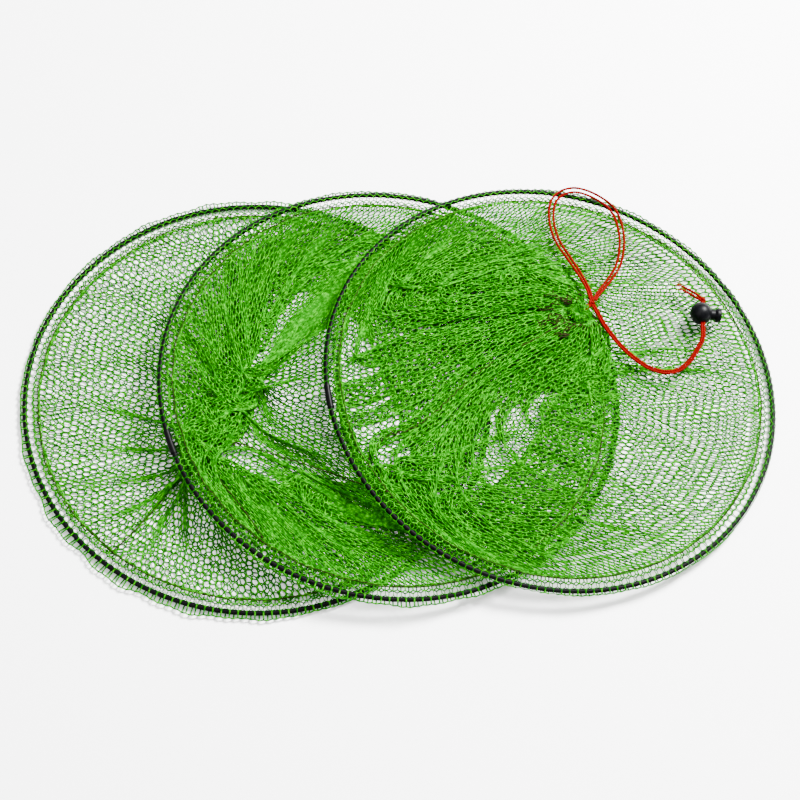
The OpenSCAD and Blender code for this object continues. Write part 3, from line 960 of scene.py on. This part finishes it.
def stitch_line(ring, centre, slope, body, seed):
    """The dark thread that sews the hem, wavering a little, with a tuck at each stitch."""
    rng = np.random.default_rng(seed)
    n = 900
    angle = 2 * np.pi * np.arange(n) / n
    waver = sum(rng.uniform(0.15, 0.4) * np.sin(k * angle + rng.uniform(0, 6.28)) for k in (7, 11, 19, 34))
    stitch = 0.22 * np.sin(150 * angle)
    line = hoop_points(centre, slope, angle, STITCH_R + waver + stitch, 1.25 + 0.25 * np.cos(150 * angle))
    points, faces = tube_parts(line, 0.36, 5, closed=True)
    obj = mesh_object(f"{ring}_hem_thread", points, faces, THREAD)
    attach(obj, body)
    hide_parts(f"{ring}_stitching")


RINGS = (("bottom", BOTTOM, 0.0), ("middle", MIDDLE, SLOPE), ("top", TOP, SLOPE))
for seed, (ring, centre, slope) in enumerate(RINGS):
    hem_netting(ring, centre, slope, f"{ring}_ring")
    stitch_line(ring, centre, slope, f"{ring}_ring", seed)


# ---------------------------------------------------------------- side seams

def side_seam(name, first_row, last_row, from_deg, to_deg, bodies, seed):
    """The thread of a lengthwise seam, on the draped netting."""
    rng = np.random.default_rng(seed)
    n = 260
    s = np.linspace(0, 1, n)
    turn = (from_deg + (to_deg - from_deg) * s) / 360
    turn = turn + 0.0009 * np.sin(2 * np.pi * s * 31 + rng.uniform(0, 6)) * np.sin(np.pi * s)
    line = on_cloth(turn, first_row + s * (last_row - first_row))
    line[:, 2] = np.maximum(line[:, 2] + 0.55, 1.2)
    points, faces = tube_parts(line, 0.42, 5)
    obj = mesh_object(f"{name}_thread", points, faces, THREAD)
    blend_along(obj, np.repeat(s, 5))
    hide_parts(name)


SEAMS = (
    ("lower_side_seam", 0, MIDDLE_ROW, SEAM_AT["bottom"], SEAM_AT["middle"], ("bottom_ring", "middle_ring")),
    ("upper_side_seam", MIDDLE_ROW, TOP_ROW, SEAM_AT["middle"], SEAM_AT["top"], ("middle_ring", "top_ring")),
    ("mouth_side_seam", TOP_ROW, ALL_ROWS - 1, SEAM_AT["top"], SEAM_AT["top"], ("top_ring", "neck")),
)
for seed, seam in enumerate(SEAMS, 11):
    side_seam(*seam, seed)


# ---------------------------------------------------------------- neck

def gathered_hem():
    """The mouth's hem, drawn up into a tight pucker: little pleats of netting that run in to its middle."""
    rng = np.random.default_rng(8)
    starts, ends = [], []
    for n in range(150):
        angle = 2 * np.pi * n / 150 + rng.normal(0, 0.03)
        out = rng.uniform(6.5, 9.6)
        low = rng.uniform(-2.6, 1.0)
        s = np.linspace(0, 1, 9)
        r = out * (1 - s) + rng.uniform(0.3, 2.2) * s
        side = rng.normal(0, 0.9) * np.sin(np.pi * s) + 0.35 * np.sin(9 * s + n)
        lift = low * (1 - s) + np.sin(np.pi * s) * rng.uniform(1.6, 3.4) - 2.2 * s
        line = np.stack([
            GATHER[0] + r * np.cos(angle) - side * np.sin(angle),
            GATHER[1] + r * np.sin(angle) + side * np.cos(angle), GATHER[2] + lift,
        ], -1)
        starts.append(line[:-1])
        ends.append(line[1:])
        link = 2 + n % 4
        across = line[link] + np.array([-math.sin(angle), math.cos(angle), 0.0]) * rng.uniform(0.8, 1.6)
        starts.append(line[link][None])
        ends.append(across[None])
    starts, ends = np.concatenate(starts), np.concatenate(ends)
    obj = net_object("mouth_gather_pleats", starts, ends, PLEAT_STRAND_D, NETTING)
    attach(obj, "neck")
    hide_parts("mouth_gather")


def gathering_thread_and_painted_shade():
    """The dark thread of the mouth's hem, crumpled where the pleats meet; its many dark pieces are also
    painted shade, darkening the pucker where the bunched pleats shade each other.
    """
    rng = np.random.default_rng(21)
    parts, shares = [], []
    # The 110 dark pieces stand partly for the real hem thread and partly for painted shade deep in the
    # pucker.
    for _ in range(110):
        turn, row = rng.uniform(0, 1), ALL_ROWS - 1 - abs(rng.normal(0, 1.5)) - 0.1
        s = np.linspace(0, 1, 5)
        turns = turn + np.cumsum(rng.normal(0, 0.006, 5))
        line = on_cloth(turns, row - s * rng.uniform(0.4, 1.6))
        line[:, 2] += 1.0 + 0.5 * np.sin(np.pi * s)
        if line_length(line) > 2.0:
            parts.append(tube_parts(smooth_line(line, 0.8), rng.uniform(0.3, 0.5), 5))
            shares.append(np.full(len(parts[-1][0]), (row - TOP_ROW) / (ALL_ROWS - 1 - TOP_ROW)))
    points, faces = join_parts(parts)
    obj = mesh_object("mouth_gather_thread_and_painted_shade", points, faces, THREAD)
    blend_along(obj, np.concatenate(shares))


def drawstring_loop():
    """The drawstring inside the hem, and its two ends that come out to the knot."""
    knot = middle("loop_knot")
    to_knot = math.atan2(knot[1] - GATHER[1], knot[0] - GATHER[0])
    a = to_knot + np.linspace(0.32, 2 * np.pi - 0.32, 40)
    ring = np.stack([GATHER[0] + 5 * np.cos(a), GATHER[1] + 5 * np.sin(a), np.full(len(a), GATHER[2])], -1)
    line = smooth_line(np.vstack([knot, ring, knot]), 0.5)
    points, faces = twisted_parts(line, CORD_D)
    obj = mesh_object("drawstring_cord", points, faces, RED_CORD)
    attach(obj, "neck")
    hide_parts("drawstring")


def cord_knot(name, node, size, turns, tilt):
    """A small tight knot: the cord wound over itself."""
    centre = middle(node)
    t = np.linspace(0, 2 * np.pi, 60, endpoint=False)
    line = np.stack([
        np.sin(t) + 2 * np.sin(2 * t), np.cos(t) - 2 * np.cos(2 * t), -1.3 * np.sin(turns * t),
    ], -1) * size / 3.2
    c, s = math.cos(tilt), math.sin(tilt)
    turned, tipped = [[c, -s, 0], [s, c, 0], [0, 0, 1]], [[1, 0, 0], [0, 0.8, 0.6], [0, -0.6, 0.8]]
    line = line @ np.array(turned) @ np.array(tipped)
    line = smooth_line(line + centre, 0.35, closed=True)
    points, faces = twisted_parts(line, CORD_D, pitch=3.2)
    obj = mesh_object(f"{name}_cord", points, faces, RED_CORD)
    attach(obj, "neck")
    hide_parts(node)
    return obj


gathered_hem()
gathering_thread_and_painted_shade()
drawstring_loop()
loop_knot = cord_knot("loop_knot", "loop_knot", 2.0, 3, 0.4)
end_knot = cord_knot("end_knot", "end_knot", 1.6, 3, 1.3)


# ---------------------------------------------------------------- cords

def doubled_cord(name, route, side, ends, gap):
    line = smooth_line(side_by_side(route, side, ends, gap))
    points, faces = twisted_parts(line, CORD_D, phase=side)
    obj = mesh_object(f"{name}_cord", points, faces, RED_CORD)
    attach(obj, "neck")
    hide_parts(name)
    return obj, line


def frayed_ends():
    """The cord's two cut ends, each untwisting into a few fibres."""
    rng = np.random.default_rng(8)
    parts = []
    for side in (1, -1):
        line = smooth_line(side_by_side(ENDS_ROUTE, side, CORD_D / 2 + 0.1, CORD_D))
        cut = int(len(line) * (0.72 if side > 0 else 0.8))
        parts.append(twisted_parts(line[:cut], CORD_D, phase=side))
        ahead = unit(line[cut - 1] - line[cut - 6])
        across = unit(np.cross([0, 0, 1], ahead))
        for fibre in range(4):
            lean = (fibre - 1.5) * 0.34 + rng.uniform(-0.1, 0.1)
            rise = rng.uniform(-0.05, 0.28)
            s = np.linspace(0, rng.uniform(4.5, 7.5), 12)[:, None]
            hair = line[cut - 2] + s * (ahead + across * lean * (0.4 + s / 8)) + np.array([0, 0, rise]) * s
            hair[:, 2] = np.maximum(hair[:, 2], 8.4)
            parts.append(tube_parts(smooth_line(hair, 0.6), 0.26, 5))
    points, faces = join_parts(parts)
    obj = mesh_object("cord_ends_frayed", points, faces, RED_CORD)
    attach(obj, "neck")
    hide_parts("cord_ends")
    return obj


outer, outer_line = doubled_cord("loop_outer_strand", LOOP_ROUTE, 1, 0.75, 2.0)
inner, inner_line = doubled_cord("loop_inner_strand", LOOP_ROUTE, -1, 0.75, 2.0)
left, left_line = doubled_cord("tail_left_strand", TAIL_ROUTE, 1, 0.75, 0.9)
right, right_line = doubled_cord("tail_right_strand", TAIL_ROUTE, -1, 0.75, 0.9)
ends = frayed_ends()


# ---------------------------------------------------------------- floor and light

def studio():
    bpy.ops.mesh.primitive_plane_add(size=12, location=(0.1, 0, -0.0002))
    floor = bpy.context.object
    floor.name = "floor"
    material, _, shader = new_material("floor")
    shader.inputs["Base Color"].default_value = (0.92, 0.92, 0.92, 1)
    shader.inputs["Roughness"].default_value = 0.9
    shader.inputs["Specular IOR Level"].default_value = 0.1
    floor.data.materials.append(material)
    for name, place, size, power in (
        ("key_light", (1.15, 0.70, 1.6), 0.6, 380.0),
        ("fill_light", (-1.1, -0.8, 1.5), 1.4, 30.0),
        ("top_light", (0.1, 0.1, 2.2), 2.2, 60.0),
    ):
        data = bpy.data.lights.new(name, "AREA")
        data.size = size
        data.energy = power
        light = bpy.data.objects.new(name, data)
        light.location = place
        light.rotation_euler = (Vector((0.1, 0, 0)) - Vector(place)).to_track_quat("-Z", "Y").to_euler()
        SCENE.collection.objects.link(light)
    world = bpy.data.worlds.new("world")
    world.use_nodes = True
    world.node_tree.nodes["Background"].inputs["Color"].default_value = (1, 1, 1, 1)
    world.node_tree.nodes["Background"].inputs["Strength"].default_value = 0.6
    SCENE.world = world


studio()
